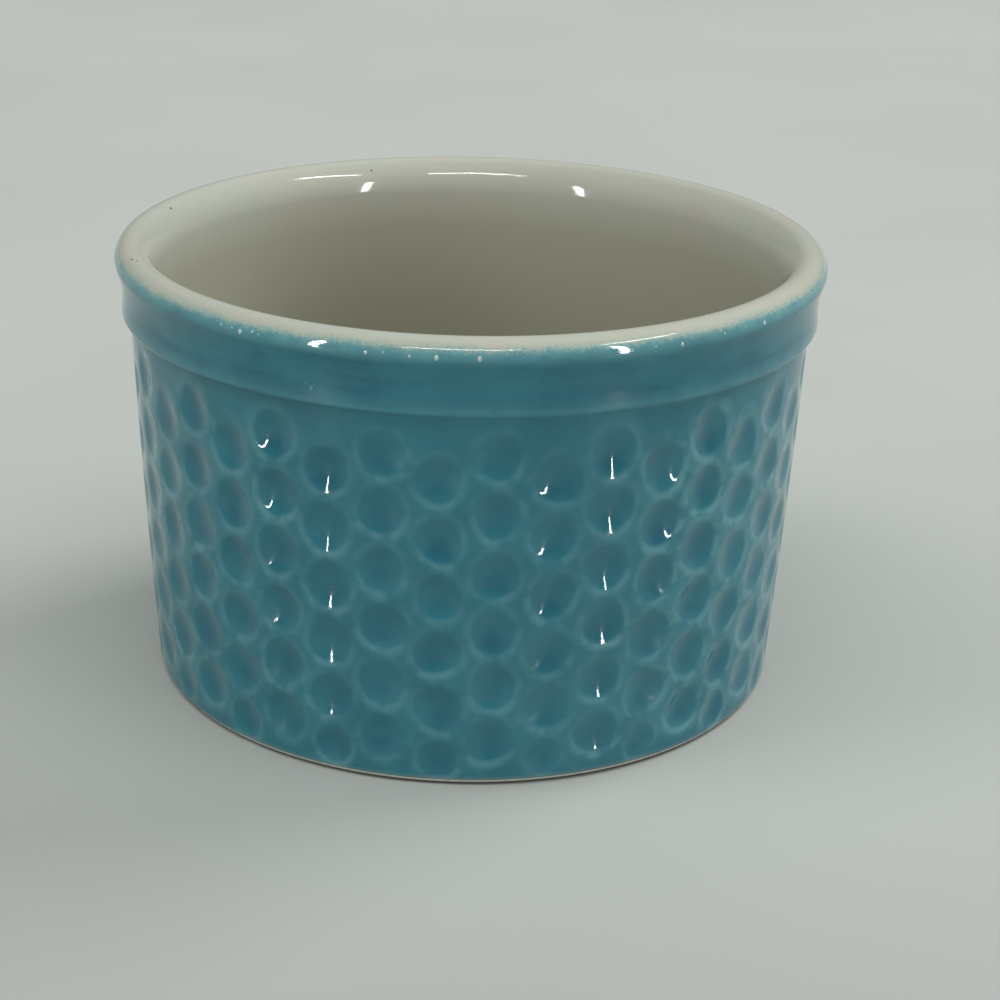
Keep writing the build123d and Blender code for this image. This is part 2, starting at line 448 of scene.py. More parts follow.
def band_outline(inset, step):
    """The band from its lower edge to where the glazes meet, this far inside its surface."""
    cove_end = 180 - lip_undercut_angle
    points = arc_points(edge_centre, step_edge_rounding - inset, -90, flare_angle / 2, step / 2)
    points += arc_points(cove_centre, cove_rounding + inset, 180, cove_end, step)
    lip_ends = (-lip_undercut_angle, glaze_meeting_angle)
    points += arc_points(lip_centre, lip_rounding - inset, *lip_ends, step / 2)
    return points


band_front = band_outline(0, fine_step)
band_back = band_outline(glaze_thickness, fine_step * back_coarseness)
band_back.reverse()
band_coat = draw_outline("turquoise_band_glaze", [ledge_end] + band_front + band_back + [ledge_end])
turn_outline(band_coat, turn_steps // 2)

# %% [markdown]
# ## The white liner
# The white coat starts on the lip, rolls over the rim, runs down the inside and covers the
# floor. Its outline ends on the axis, so the turn closes it to one thin bowl with a front and a
# back. The back is hidden, so it has about a quarter of the front's points, which keeps the
# mesh small. The rounding inside the rim is wider than the one outside, as a potter leaves it.

# %% The liner
lip_gap = (lip_centre[0] - (cone_radius(lip_centre[1]) - wall_thickness / draft_cosine)) * draft_cosine
inner_lip_reach = lip_inner_rounding - lip_rounding
inner_lip_turn = math.degrees(math.acos((lip_inner_rounding - lip_gap) / inner_lip_reach))
inner_lip_angle = -wall_draft_angle - inner_lip_turn
inner_lip_centre = on_circle(lip_centre, inner_lip_reach, inner_lip_angle)
floor_round_height = floor_height + floor_corner_rounding
inner_wall_foot = cone_radius(floor_round_height) - wall_thickness / draft_cosine
floor_round_centre = (inner_wall_foot - floor_corner_rounding / draft_cosine, floor_round_height)
inner_wall_rows = 60
floor_rings = 24


def liner_outline(inset, coarseness=1):
    """The inside, from where the glazes meet, over the rim and down to the middle of the floor."""
    step = fine_step * coarseness
    lip_end = inner_lip_angle + 180
    wall_angle = 180 - wall_draft_angle
    points = arc_points(lip_centre, lip_rounding - inset, glaze_meeting_angle, lip_end, step / 2)
    points += arc_points(inner_lip_centre, lip_inner_rounding - inset, lip_end, wall_angle, 2 * step)
    wall_end = on_circle(floor_round_centre, floor_corner_rounding + inset, -wall_draft_angle)
    points += line_points(points[-1], wall_end, inner_wall_rows // coarseness)
    points += arc_points(floor_round_centre, floor_corner_rounding + inset, -wall_draft_angle, -90, 2 * step)
    points += line_points(points[-1], (0, floor_height - inset), floor_rings // coarseness)
    return points


liner_front = liner_outline(0)
liner_back = liner_outline(glaze_thickness, back_coarseness)
liner_back.reverse()
liner = draw_outline("white_liner_glaze_coat", liner_front + liner_back + liner_front[:1])
turn_outline(liner, turn_steps // 2)

# %% [markdown]
# ## The clay
# Almost all of the clay is hidden. What shows is the foot ring: a bare, slightly rounded edge
# that the potter wipes clean of glaze, so that the vessel doesn't stick to the kiln shelf.
# The whole body is turned all the same, as it is on the real piece. Behind the wall and under
# the liner it stands a tenth further in than the backs of the coats, so that no two faces
# share a place there.

# %% The clay body
foot_outer_radius = cone_radius(0) - glaze_thickness / draft_cosine
foot_contact_radius = foot_outer_radius - foot_edge_rounding
recess_edge_radius = foot_contact_radius - foot_ring_width
recess_radius = recess_edge_radius - recess_depth
clay_play_share = 1.1
clay_inset = clay_play_share * glaze_thickness
clay_setback = clay_play_share * hidden_setback

foot_centre = (foot_contact_radius, foot_edge_rounding)
clay_outline = [(0, recess_depth), (recess_radius, recess_depth), (recess_edge_radius, 0)]
clay_outline += arc_points(foot_centre, foot_edge_rounding, -90, 0, foot_edge_rounding / 3)
clay_outline.append((foot_outer_radius, bare_foot_height))
clay_outline.append((wall_radius(bare_foot_height) - clay_setback, bare_foot_height))
clay_outline.append((wall_top_radius - clay_setback, band_bottom))
clay_lip_ends = (-lip_undercut_angle, glaze_meeting_angle)
clay_outline += arc_points(lip_centre, lip_rounding - clay_inset, *clay_lip_ends, fine_step)
clay_back = liner_outline(clay_inset, back_coarseness)
clay_body = draw_outline("bare_clay_body", clay_outline + clay_back + clay_outline[:1])
turn_outline(clay_body, turn_steps // 4)

# %% [markdown]
# ## The coat under the base
# Inside the foot ring the base is set back and glazed. It is a flat coat whose edge creeps a
# little way down the slope of the ring. A rounded edge is drawn into its outline.

# %% The underside coat
underside_low = recess_depth - glaze_thickness
underside_radius = recess_radius + glaze_thickness
underside_points = line_points((0, recess_depth), (recess_radius, recess_depth), floor_rings)
underside_points += arc_points(
    (underside_radius - glaze_thickness / 2, recess_depth - glaze_thickness / 2),
    glaze_thickness / 2, 45, -90, glaze_thickness / 6,
)
underside_points += line_points(underside_points[-1], (0, underside_low), floor_rings)
underside = draw_outline("underside_glaze_coat", underside_points + underside_points[:1])
turn_outline(underside, turn_steps // 4)

# %% [markdown]
# ## A bead of white glaze
# When the white was poured, a few drops ran past the line and froze on the turquoise. One drop
# is modelled from a small sphere: it is pressed flat, and its lower end is drawn out and
# narrowed, as a drop that began to run. Half of it will sit in the coat below.

# %% One bead
bead_radius = 0.32 * mm
bead_rise = 0.22 * mm
bead_length_share = 1.15
tail_start_share = 0.5
tail_length_share = 0.15
tail_width_shares = (0.9, 0.85, 1)


def make_bead():
    """A drop that bulges towards +X from the plane of Y and Z, with its tail down."""
    bpy.ops.object.select_all(action="DESELECT")
    bpy.ops.mesh.primitive_uv_sphere_add(segments=20, ring_count=12, radius=bead_radius)
    bead = bpy.context.object
    bead.name = "bead"
    bpy.ops.object.mode_set(mode="EDIT")
    bpy.ops.mesh.select_all(action="SELECT")
    bpy.ops.transform.resize(value=(bead_rise / bead_radius, 1, bead_length_share))
    bpy.ops.object.mode_set(mode="OBJECT")
    for vertex in bead.data.vertices:
        vertex.select = vertex.co.z < -tail_start_share * bead_radius
    bpy.ops.object.mode_set(mode="EDIT")
    bpy.ops.mesh.select_mode(type="VERT")
    bpy.ops.transform.translate(value=(0, 0, -tail_length_share * bead_radius))
    bpy.ops.transform.resize(value=tail_width_shares, center_override=(0, 0, 0))
    bpy.ops.object.mode_set(mode="OBJECT")
    return bead


first_bead = make_bead()
print("a bead has", len(first_bead.data.polygons), "faces")

# %% [markdown]
# ## The beads in their places
# The other beads are copies of the first, each with its own mesh, size and place: how far round
# the lip it lies, how high up the lip's rounding, and how large it is. Most line up just below
# the edge of the white, and a few small ones lie in it. They are joined to one object, because
# they are one finish and nobody would pick them up one by one.

# %% The copies
bead_places = (
    (-34.8, 8, 1.0), (-14.5, 8, 0.75), (-8.2, 8, 0.6), (-4.4, 8, 1.0), (1.6, 8, 1.05),
    (32.0, 8, 0.8), (49.0, 8, 0.9), (118.0, 8, 0.7), (162.0, 8, 1.0), (231.0, 8, 0.8),
    (-38.5, 15, 0.45), (-36.4, 14, 0.4), (-32.6, 16, 0.5), (-31.5, 12, 0.35), (-12.0, 14, 0.4),
    (27.5, 13, 0.35), (40.0, 13, 0.5), (44.5, 15, 0.4), (205.0, 14, 0.45),
)


def copy_bead(place):
    """A copy of the first bead with its own mesh, moved to its place."""
    bead = first_bead.copy()
    bead.data = first_bead.data.copy()
    bead.data.transform(place)
    bpy.context.scene.collection.objects.link(bead)
    return bead


def join_pieces(pieces):
    """Makes one object of several, under the name of the first."""
    bpy.ops.object.select_all(action="DESELECT")
    for piece in pieces:
        piece.select_set(True)
    bpy.context.view_layer.objects.active = pieces[0]
    bpy.ops.object.join()
    bpy.ops.object.shade_smooth_by_angle(angle=math.radians(sharp_angle))
    print(pieces[0].name, len(pieces[0].data.polygons), "faces")


beads = []
for column, bead_angle, size in bead_places:
    bead_seat = on_circle(lip_centre, lip_rounding, bead_angle)
    lean = Matrix.Rotation(math.radians(-bead_angle), 4, "Y")
    seat = Matrix.Translation((bead_seat[0], 0, bead_seat[1]))
    turn = Matrix.Rotation(math.radians(column - 90), 4, "Z")
    beads.append(copy_bead(turn @ seat @ lean @ Matrix.Scale(size, 4)))
rim_beads = beads[0]
rim_beads.name = "white_rim_beads"
rim_beads.data.name = "white_rim_beads"
join_pieces(beads)

# %% [markdown]
# ## Grains under the band's glaze
# On the left of the band some grit lies under the turquoise, and lifts it to tiny bumps that
# sparkle. They are more drops like the beads, joined to the coat that they belong to.

# %% The grains
grain_places = ((-23.2, 56.2, 0.9), (-24.1, 56.8, 0.45), (-22.7, 56.7, 0.4), (-23.6, 55.7, 0.35))
grain_middles = []
band_radius = cove_centre[0] - cove_rounding

grains = []
for angle, height, share in grain_places:
    place = Matrix.Rotation(math.radians(angle - 90), 4, "Z")
    place @= Matrix.Translation((band_radius, 0, height * mm))
    grains.append(copy_bead(place @ Matrix.Scale(share, 4)))
    grain_middles.append((numpy.array(place.translation), share))
bpy.data.objects.remove(first_bead)
join_pieces([band_coat] + grains)

# %% [markdown]
# ## How thin the glaze lies on the wall, and its painted sheen
# A glaze runs off sharp edges and gathers in hollows, and a thin layer looks paler. The wall
# gets the numbers of its dimples, and one for the glaze's soft end at the foot. Towards the
# vessel's left and right the crests are pale all round, and so is the web between them: a
# painted sheen, paler on the right than on the left.

# %% The attributes of the wall
# painted sheen towards the vessel's left and right, weaker on the left
sheen_start_share = 0.24
sheen_end_share = 0.7
front_crest_share = 0.88
side_sheen_crest_gain = 0.22
side_sheen_crest_share = 0.2
side_sheen_web_share = 0.24
left_sheen_share = 0.7
foot_fade_top = 1.5 * mm
foot_fade_bottom = 0.85 * mm
foot_fade_share = 0.4


def smooth_rise(values, low, high):
    """0 below low, 1 above high and a smooth rise between them."""
    share = numpy.clip((values - low) / (high - low), 0, 1)
    return share * share * (3 - 2 * share)


def write_attribute(piece, name, values):
    """Keeps one number for each vertex of a piece, for its material to read."""
    attribute = piece.data.attributes.new(name, "FLOAT", "POINT")
    attribute.data.foreach_set("value", numpy.asarray(values, dtype=numpy.float32))
    print(piece.name, name, "from", round(float(min(values)), 2), "to", round(float(max(values)), 2))


# painted sheen: crests and web grow paler towards the left and right sides
side_sheen = smooth_rise(numpy.abs(wall_points[:, 0]) / rim_radius, sheen_start_share, sheen_end_share)
side_sheen[wall_points[:, 0] < 0] *= left_sheen_share
paleness *= front_crest_share + side_sheen_crest_gain * side_sheen
foot_fade = smooth_rise(-wall_points[:, 2], -foot_fade_top, -foot_fade_bottom)
write_attribute(wall_coat, "deep_glaze_and_reflection", pooled_and_painted_darkening)
write_attribute(wall_coat, "dimple_share", nearest_edge)
write_attribute(wall_coat, "crest_paleness", paleness + side_sheen_crest_share * side_sheen)
write_attribute(wall_coat, "web_painted_sheen", side_sheen_web_share * side_sheen)
write_attribute(wall_coat, "foot_paleness", foot_fade * foot_fade_share)

# %% [markdown]
# ## How thin the glaze lies on the band, and its painted sheen
# Here it is thin along the lower edge of the step and on the lip, just under the white. Towards
# the left and right the edge line is brighter, a painted sheen. It is thin on the grains too. One
# material serves wall and band, because an attribute that a piece doesn't have reads as zero.

# %% The attribute of the band
lip_strip_bottom = 60.5 * mm
lip_strip_top = 63.2 * mm
edge_line_height = 54.7 * mm
edge_line_width = 0.6 * mm
edge_line_share = 0.24
side_sheen_edge_gain = 0.9
grain_reach = 1.6 * bead_radius
raised_more_than = 0.05 * mm

band_points = numpy.array([vertex.co for vertex in band_coat.data.vertices])
strip = smooth_rise(band_points[:, 2], lip_strip_bottom, lip_strip_top)
edge_line = numpy.exp(-(((band_points[:, 2] - edge_line_height) / edge_line_width) ** 2))
# painted sheen: the edge line grows paler towards the left and right sides
edge_line *= 1 + side_sheen_edge_gain * (band_points[:, 0] / rim_radius) ** 2
on_grain = numpy.zeros(len(band_points), dtype=bool)
for middle, share in grain_middles:
    on_grain |= numpy.linalg.norm(band_points - middle, axis=1) < grain_reach * share
on_grain &= numpy.hypot(band_points[:, 0], band_points[:, 1]) > band_radius + raised_more_than
band_thin = numpy.maximum(strip, edge_line * edge_line_share)
write_attribute(band_coat, "thin_glaze_and_side_sheen", numpy.maximum(band_thin, on_grain))

# %% [markdown]
# ## Building a material by nodes
# All finishes below are node trees. A helper adds a node with its settings, and another joins
# two sockets. Colours are written as they look on screen, from 0 to 255, and changed to the
# linear values that the renderer works in.

# %% Helpers for nodes
def screen_colour(red, green, blue):
    """A colour as it looks on screen, as linear values with full alpha."""
    linear = []
    for level in (red, green, blue):
        share = level / 255
        linear.append(share / 12.92 if share <= 0.04045 else ((share + 0.055) / 1.055) ** 2.4)
    return (*linear, 1.0)


def add_node(tree, kind, inputs=None, **settings):
    """A new node with its settings, and with values for the inputs that are named."""
    node = tree.nodes.new(kind)
    for name, value in settings.items():
        setattr(node, name, value)
    for name, value in (inputs or {}).items():
        node.inputs[name].default_value = value
    return node


def add_noise(tree, coordinates, scale, detail=2.0, roughness=0.5):
    """A noise texture on the object's own coordinates; its scale is in waves per metre."""
    inputs = {"Detail": detail, "Roughness": roughness}
    texture = add_node(tree, "ShaderNodeTexNoise", inputs)
    if isinstance(scale, (int, float)):
        texture.inputs["Scale"].default_value = scale
    else:
        tree.links.new(scale, texture.inputs["Scale"])
    tree.links.new(coordinates, texture.inputs["Vector"])
    return texture.outputs["Fac"]


print("mid grey on screen is", round(screen_colour(128, 128, 128)[0], 3), "in the renderer")

# %% [markdown]
# ## Sums with nodes
# What a noise or a distance means for a finish is worked out with a few small nodes: a range
# turns a value into a share with soft ends, a sum joins two values, and a mix goes from one
# colour to another by a share. A window is two ranges, one that rises and one that falls.

# %% Helpers for sums and mixes
def add_range(tree, value, low, high, to_low=0.0, to_high=1.0):
    """A value taken from one range to another, with smooth ends."""
    node = add_node(tree, "ShaderNodeMapRange", interpolation_type="SMOOTHSTEP")
    node.inputs["From Min"].default_value = low
    node.inputs["From Max"].default_value = high
    node.inputs["To Min"].default_value = to_low
    node.inputs["To Max"].default_value = to_high
    tree.links.new(value, node.inputs["Value"])
    return node.outputs["Result"]


def add_math(tree, operation, first, second=None):
    """One sum; each of its two terms is a socket or a number."""
    node = add_node(tree, "ShaderNodeMath", operation=operation)
    for slot, term in enumerate((first, second)):
        if isinstance(term, (int, float)):
            node.inputs[slot].default_value = term
        elif term is not None:
            tree.links.new(term, node.inputs[slot])
    return node.outputs["Value"]


def add_mix(tree, share, first, second):
    """Two colours mixed by a share; each colour is a socket or a colour."""
    node = add_node(tree, "ShaderNodeMix", data_type="RGBA")
    tree.links.new(share, node.inputs["Factor"])
    for slot, colour in ((6, first), (7, second)):
        if isinstance(colour, tuple):
            node.inputs[slot].default_value = colour
        else:
            tree.links.new(colour, node.inputs[slot])
    return node.outputs[2]


def add_window(tree, value, start, full, fade, end):
    """1 for a value between full and fade, falling smoothly to 0 at start and at end."""
    return add_math(tree, "MULTIPLY", add_range(tree, value, start, full), add_range(tree, value, end, fade))


print("sum helpers ready")

# %% [markdown]
# ## What a piece tells its material
# A finish often depends on where on the piece a point lies. The material can read the numbers
# that the piece keeps for its vertices, and the object's own coordinates, from which the
# distance from the vessel's axis follows.

# %% Helpers for places
def add_attribute(tree, name):
    """One of the numbers that a piece keeps for each vertex."""
    return add_node(tree, "ShaderNodeAttribute", attribute_name=name).outputs["Fac"]


def add_place(tree, coordinates):
    """The three coordinates of a point, as the outputs X, Y and Z."""
    node = add_node(tree, "ShaderNodeSeparateXYZ")
    tree.links.new(coordinates, node.inputs["Vector"])
    return node.outputs


def add_axis_distance(tree, place):
    """How far a point lies from the vessel's axis."""
    squares = add_math(tree, "ADD", add_math(tree, "POWER", place["X"], 2.0),
                       add_math(tree, "POWER", place["Y"], 2.0))
    return add_math(tree, "SQRT", squares)


print("place helpers ready")

# %% [markdown]
# ## Materials and node groups
# A material starts as an empty tree with one Principled shader, which reads the object's own
# coordinates. An effect that more than one material needs is a node group: it is built once,
# with named inputs and outputs, and placed in each material with that material's values.

# %% Helpers for materials and groups
def new_material(name, rough):
    """A material with an empty tree, its shader and the object coordinates."""
    material = bpy.data.materials.new(name)
    material.use_nodes = True
    tree = material.node_tree
    tree.nodes.clear()
    output = add_node(tree, "ShaderNodeOutputMaterial")
    shader = add_node(tree, "ShaderNodeBsdfPrincipled", {"Roughness": rough})
    tree.links.new(shader.outputs["BSDF"], output.inputs["Surface"])
    coordinates = add_node(tree, "ShaderNodeTexCoord").outputs["Object"]
    return material, tree, shader, coordinates


def add_bump(tree, shader, height, strength, distance):
    """A bump from a height between 0 and 1, as deep as the distance."""
    bump = add_node(tree, "ShaderNodeBump", {"Strength": strength, "Distance": distance})
    tree.links.new(height, bump.inputs["Height"])
    tree.links.new(bump.outputs["Normal"], shader.inputs["Normal"])


def new_group(name, vectors, numbers, masks):
    """A node group with these inputs and outputs, the sockets it reads and those it fills."""
    group = bpy.data.node_groups.new(name, "ShaderNodeTree")
    for socket in vectors:
        group.interface.new_socket(socket, in_out="INPUT", socket_type="NodeSocketVector")
    for socket in numbers:
        group.interface.new_socket(socket, in_out="INPUT", socket_type="NodeSocketFloat")
    for socket in masks:
        group.interface.new_socket(socket, in_out="OUTPUT", socket_type="NodeSocketFloat")
    return group, add_node(group, "NodeGroupInput").outputs, add_node(group, "NodeGroupOutput").inputs


def place_group(tree, group, coordinates, values):
    """A node group placed in a material with its own values; gives its outputs."""
    node = add_node(tree, "ShaderNodeGroup", values, node_tree=group)
    tree.links.new(coordinates, node.inputs["Coordinates"])
    return node.outputs


print("material helpers ready")

# %% [markdown]
# ## A ragged meeting of two glazes
# Where the white meets the turquoise neither has a clean edge: the line wanders, and specks of
# each lie in the other. Both materials need it, so it is a node group, built once. It takes the
# point's angle round the lip's cross-section, bends it with a slow and a fast noise, and puts
# out two masks. In the first, 0 is turquoise and 1 is white; whatever lies behind the middle
# of the vessel's wall is the inside, and always white. The second is the fringe, a narrow
# strip of white just past the line, where the turquoise below tints it.

# %% The ragged edge
slow_wave_scale = 260.0
fast_wave_scale = 2600.0
edge_wander = 0.45
edge_specks = 1.1
white_starts = (-0.22, 0.2)
fringe_ends = (0.42, 0.02)
edge_turn = math.radians(glaze_meeting_angle)


def make_ragged_edge():
    """The node group that masks white from turquoise round the lip."""
    numbers = ("Edge Angle", "Wander", "Specks")
    group, entry, leave = new_group("ragged_glaze_edge", ("Coordinates",), numbers, ("White", "Fringe"))
    place = add_place(group, entry["Coordinates"])
    radius = add_math(group, "SUBTRACT", add_axis_distance(group, place), lip_centre[0])
    height = add_math(group, "SUBTRACT", place["Z"], lip_centre[1])
    bent = add_math(group, "ARCTAN2", height, radius)
    slow = add_noise(group, entry["Coordinates"], slow_wave_scale)
    fast = add_noise(group, entry["Coordinates"], fast_wave_scale, 3.0, 0.75)
    for wave, strength in ((slow, entry["Wander"]), (fast, entry["Specks"])):
        swing = add_math(group, "MULTIPLY", add_math(group, "SUBTRACT", wave, 0.5), strength)
        bent = add_math(group, "ADD", bent, swing)
    past = add_math(group, "SUBTRACT", bent, entry["Edge Angle"])
    behind = add_math(group, "SUBTRACT", radius, add_math(group, "MULTIPLY", height, draft_slope))
    inside = add_math(group, "LESS_THAN", behind, -0.5 * wall_thickness)
    white_side = add_math(group, "MAXIMUM", add_range(group, past, *white_starts), inside)
    group.links.new(white_side, leave["White"])
    outside = add_math(group, "SUBTRACT", 1.0, inside)
    fringe = add_math(group, "MULTIPLY", add_range(group, past, *fringe_ends), outside)
    group.links.new(fringe, leave["Fringe"])
    return group


def add_ragged_edge(tree, coordinates, wander, specks):
    """The ragged edge placed in a material, with its own values; puts out both masks."""
    values = {"Edge Angle": edge_turn, "Wander": wander, "Specks": specks}
    edge = place_group(tree, ragged_edge, coordinates, values)
    return edge["White"], edge["Fringe"]


ragged_edge = make_ragged_edge()
print("group", ragged_edge.name, len(ragged_edge.nodes), "nodes")

# %% [markdown]
# ## Orange peel
# A fired glaze is never as flat as window glass: it has a soft, fine swell like the skin of an
# orange. Turquoise and white both need it, each a little coarser or finer, so it is the second
# group. It only puts out a height, and each material makes its own bump from that.

# %% The orange peel
peel_depth = 0.02 * mm


def make_orange_peel():
    """The node group that gives the height of a glaze's soft swell."""
    numbers = ("Coarse Scale", "Fine Scale")
    group, entry, leave = new_group("orange_peel", ("Coordinates",), numbers, ("Height",))
    coarse = add_noise(group, entry["Coordinates"], entry["Coarse Scale"])
    fine = add_noise(group, entry["Coordinates"], entry["Fine Scale"])
    group.links.new(add_math(group, "ADD", coarse, fine), leave["Height"])
    return group


def add_peel(tree, coordinates, coarse_scale, fine_scale):
    """The orange peel placed in a material; gives its height."""
    values = {"Coarse Scale": coarse_scale, "Fine Scale": fine_scale}
    return place_group(tree, orange_peel, coordinates, values)["Height"]


orange_peel = make_orange_peel()
print("group", orange_peel.name, len(orange_peel.nodes), "nodes")

# %% [markdown]
# ## Turquoise: where it pools, and its painted shade
# The coloured glaze is bluer and deeper where it lies thick. How far the colour goes that way is a
# number from 0 to 1: the pools of the dimples, with their painted reflection, plus a slow noise
# that makes the coat a little greener here and bluer there. The band was wiped round on the
# wheel, so there a noise that is squeezed in height draws level streaks. The hollow over the
# band's lower edge is painted darker in the same colour: painted shade.

# %% The depth of the turquoise
pool_and_reflection_share = 0.8
patch_scale = 150.0
patch_share = 0.45
streak_scale = 110.0
streak_squeeze = 5
streak_share = 0.45
# painted shade over the band's lower edge: where it lies and how strong it is
hollow_heights = (54.8 * mm, 55.4 * mm, 56.0 * mm, 57.6 * mm)
hollow_painted_shade_share = 0.3


def add_pooled_and_painted_darkening(tree, coordinates):
    """How deep the turquoise's colour goes, from 0 where plain to 1 where it pools or has painted shade."""
    height = add_place(tree, coordinates)["Z"]
    pools = add_math(tree, "MULTIPLY", add_attribute(tree, "deep_glaze_and_reflection"), pool_and_reflection_share)
    patch = add_range(tree, add_noise(tree, coordinates, patch_scale, 3.0), 0.35, 0.65, 0.0, patch_share)
    squeeze = add_node(tree, "ShaderNodeMapping", {"Scale": (1, 1, streak_squeeze)})
    tree.links.new(coordinates, squeeze.inputs["Vector"])
    streak = add_range(tree, add_noise(tree, squeeze.outputs["Vector"], streak_scale, 3.0), 0.45, 0.7)
    on_band = add_range(tree, height, band_bottom, band_bottom + step_edge_rounding, 0.0, streak_share)
    # painted shade: the hollow over the band's lower edge is darkened
    hollow = add_math(tree, "MULTIPLY", add_window(tree, height, *hollow_heights), hollow_painted_shade_share)
    pooled_and_painted_darkening = add_math(tree, "ADD", pools, patch)
    for more in (add_math(tree, "MULTIPLY", streak, on_band), hollow):
        pooled_and_painted_darkening = add_math(tree, "ADD", pooled_and_painted_darkening, more)
    return add_math(tree, "MINIMUM", pooled_and_painted_darkening, 1.0)


print("the hollow over the band's edge lies at", round(hollow_heights[1] / mm, 1), "mm")

# %% [markdown]
# ## Turquoise: the crests
# A ridge between two dimples sheds its glaze and looks paler; a painted highlight on its lower
# side and a painted sheen at the vessel's sides come with it. The attribute tells how far a
# point lies from the nearest dimple, where 1 is the dimple's edge, so a ring is a window of that
# number, and the web between the rings, which is painted sheen, is another. A noise wears both
# away in places, as it does the thin strip on the lip, because a line of one strength looks drawn.

# %% The crests
ring_window = (0.86, 1.12, 1.2, 1.48)
web_window = (0.85, 1.1, 1.35, 1.7)
wear_scale = 380.0


def add_crests(tree, coordinates):
    """How pale the turquoise is: thin glaze on rings and lip, painted sheen on the web and sides."""
    out = add_attribute(tree, "dimple_share")
    ring = add_window(tree, out, *ring_window)
    ring = add_math(tree, "MULTIPLY", ring, add_attribute(tree, "crest_paleness"))
    # painted sheen: the web between the rings, pale only towards the sides
    web = add_window(tree, out, *web_window)
    web = add_math(tree, "MULTIPLY", web, add_attribute(tree, "web_painted_sheen"))
    wear = add_noise(tree, coordinates, wear_scale, 3.0)
    crest = add_math(tree, "MAXIMUM", ring, web)
    crest = add_math(tree, "MULTIPLY", crest, add_range(tree, wear, 0.34, 0.6, 0.15, 1.0))
    strip = add_range(tree, wear, 0.3, 0.7, 0.6, 0.95)
    strip = add_math(tree, "MULTIPLY", add_attribute(tree, "thin_glaze_and_side_sheen"), strip)
    return add_math(tree, "MAXIMUM", crest, strip)


print("a ring is palest from", ring_window[1], "to", ring_window[2], "dimple sizes out")

# %% [markdown]
# ## Turquoise: the whole material
# Three colours are mixed: the plain surface, the pool, which carries painted shade and a
# painted reflection too, and the thin crest, which carries a painted highlight and sheen too;
# then the pale end at the foot and the ragged meeting with the white. The bump is the orange
# peel with a rare pip on it, a speck that sparkles: one cell in ten of a Voronoi texture has one
# in its middle.

# %% Turquoise
# the pool colour also gives the painted shade and the painted reflection
pool_and_painted_dark_colour = screen_colour(28, 94, 111)
plain_colour = screen_colour(43, 113, 126)
thin_and_painted_sheen_colour = screen_colour(107, 158, 163)
fringe_colour = screen_colour(159, 172, 159)
foot_colour = screen_colour(128, 138, 132)
gloss_roughness = 0.06
pip_scale = 700.0
pip_chance = 0.1
pip_height = 2.5
turquoise_peel_scales = (420.0, 1500.0)
turquoise_bump_strength = 0.35


def add_pips(tree, coordinates):
    """A rare tiny bump, in the middle of some cells of a Voronoi texture."""
    cells = add_node(tree, "ShaderNodeTexVoronoi", {"Scale": pip_scale})
    tree.links.new(coordinates, cells.inputs["Vector"])
    chance = add_node(tree, "ShaderNodeSeparateColor")
    tree.links.new(cells.outputs["Color"], chance.inputs["Color"])
    rare = add_math(tree, "GREATER_THAN", chance.outputs["Red"], 1 - pip_chance)
    rise = add_range(tree, cells.outputs["Distance"], 0.12, 0.02, 0.0, pip_height)
    return add_math(tree, "MULTIPLY", rise, rare)


def make_turquoise():
    """Glossy turquoise, for the wall, the band and the underside."""
    material, tree, shader, coordinates = new_material("turquoise_gloss_glaze", gloss_roughness)
    colour = add_mix(tree, add_pooled_and_painted_darkening(tree, coordinates), plain_colour, pool_and_painted_dark_colour)
    colour = add_mix(tree, add_crests(tree, coordinates), colour, thin_and_painted_sheen_colour)
    colour = add_mix(tree, add_attribute(tree, "foot_paleness"), colour, foot_colour)
    white, fringe = add_ragged_edge(tree, coordinates, edge_wander, edge_specks)
    tree.links.new(add_mix(tree, white, colour, fringe_colour), shader.inputs["Base Color"])
    peel = add_peel(tree, coordinates, *turquoise_peel_scales)
    height = add_math(tree, "ADD", peel, add_pips(tree, coordinates))
    add_bump(tree, shader, height, turquoise_bump_strength, peel_depth)
    return material


turquoise = make_turquoise()
print(turquoise.name, len(turquoise.node_tree.nodes), "nodes")

# %% [markdown]
# ## Pinholes
# Where gas left the clay in the kiln, the glaze keeps a dark dot. Each of the few in the
# photograph is placed by a small node group that masks whatever lies close to one point. A
# pinhole is written as its angle round the vessel, its distance from the axis, its height and
# its size.

# %% Pinholes
pinholes = (
    (-106.6, 46.9 * mm, 63.6 * mm, 0.3 * mm),
    (-70.5, 49.2 * mm, 64.1 * mm, 0.28 * mm),
    (-69.0, 48.7 * mm, 64.2 * mm, 0.2 * mm),
    (-159.3, 46.1 * mm, 62.9 * mm, 0.2 * mm),
    (10.5, 50.6 * mm, 62.7 * mm, 0.2 * mm),
)


def make_pinhole():
    """The node group that masks a dot of the given size round a place."""
    group, entry, leave = new_group("pinhole", ("Coordinates", "Place"), ("Size",), ("Dark",))
    gap = add_node(group, "ShaderNodeVectorMath", operation="DISTANCE")
    group.links.new(entry["Coordinates"], gap.inputs[0])
    group.links.new(entry["Place"], gap.inputs[1])
    far = add_math(group, "DIVIDE", gap.outputs["Value"], entry["Size"])
    group.links.new(add_range(group, far, 1.0, 0.6), leave["Dark"])
    return group


def add_pinhole(tree, coordinates, angle, radius, level, size):
    """The mask of one pinhole, placed in a material."""
    turn = math.radians(angle)
    middle = (radius * math.sin(turn), -radius * math.cos(turn), level)
    return place_group(tree, pinhole, coordinates, {"Place": middle, "Size": size})["Dark"]


pinhole = make_pinhole()
print(len(pinholes), "pinholes")

# %% [markdown]
# ## The white glaze
# A warm, glossy white. It isn't even: here the buff clay shows through a little, there it looks
# cooler. Down inside it is painted a shade darker and warmer: painted shade in the deep cup.

# %% White
white_colour = screen_colour(177, 177, 165)
pale_white_colour = screen_colour(173, 178, 166)
buff_white_colour = screen_colour(177, 171, 155)
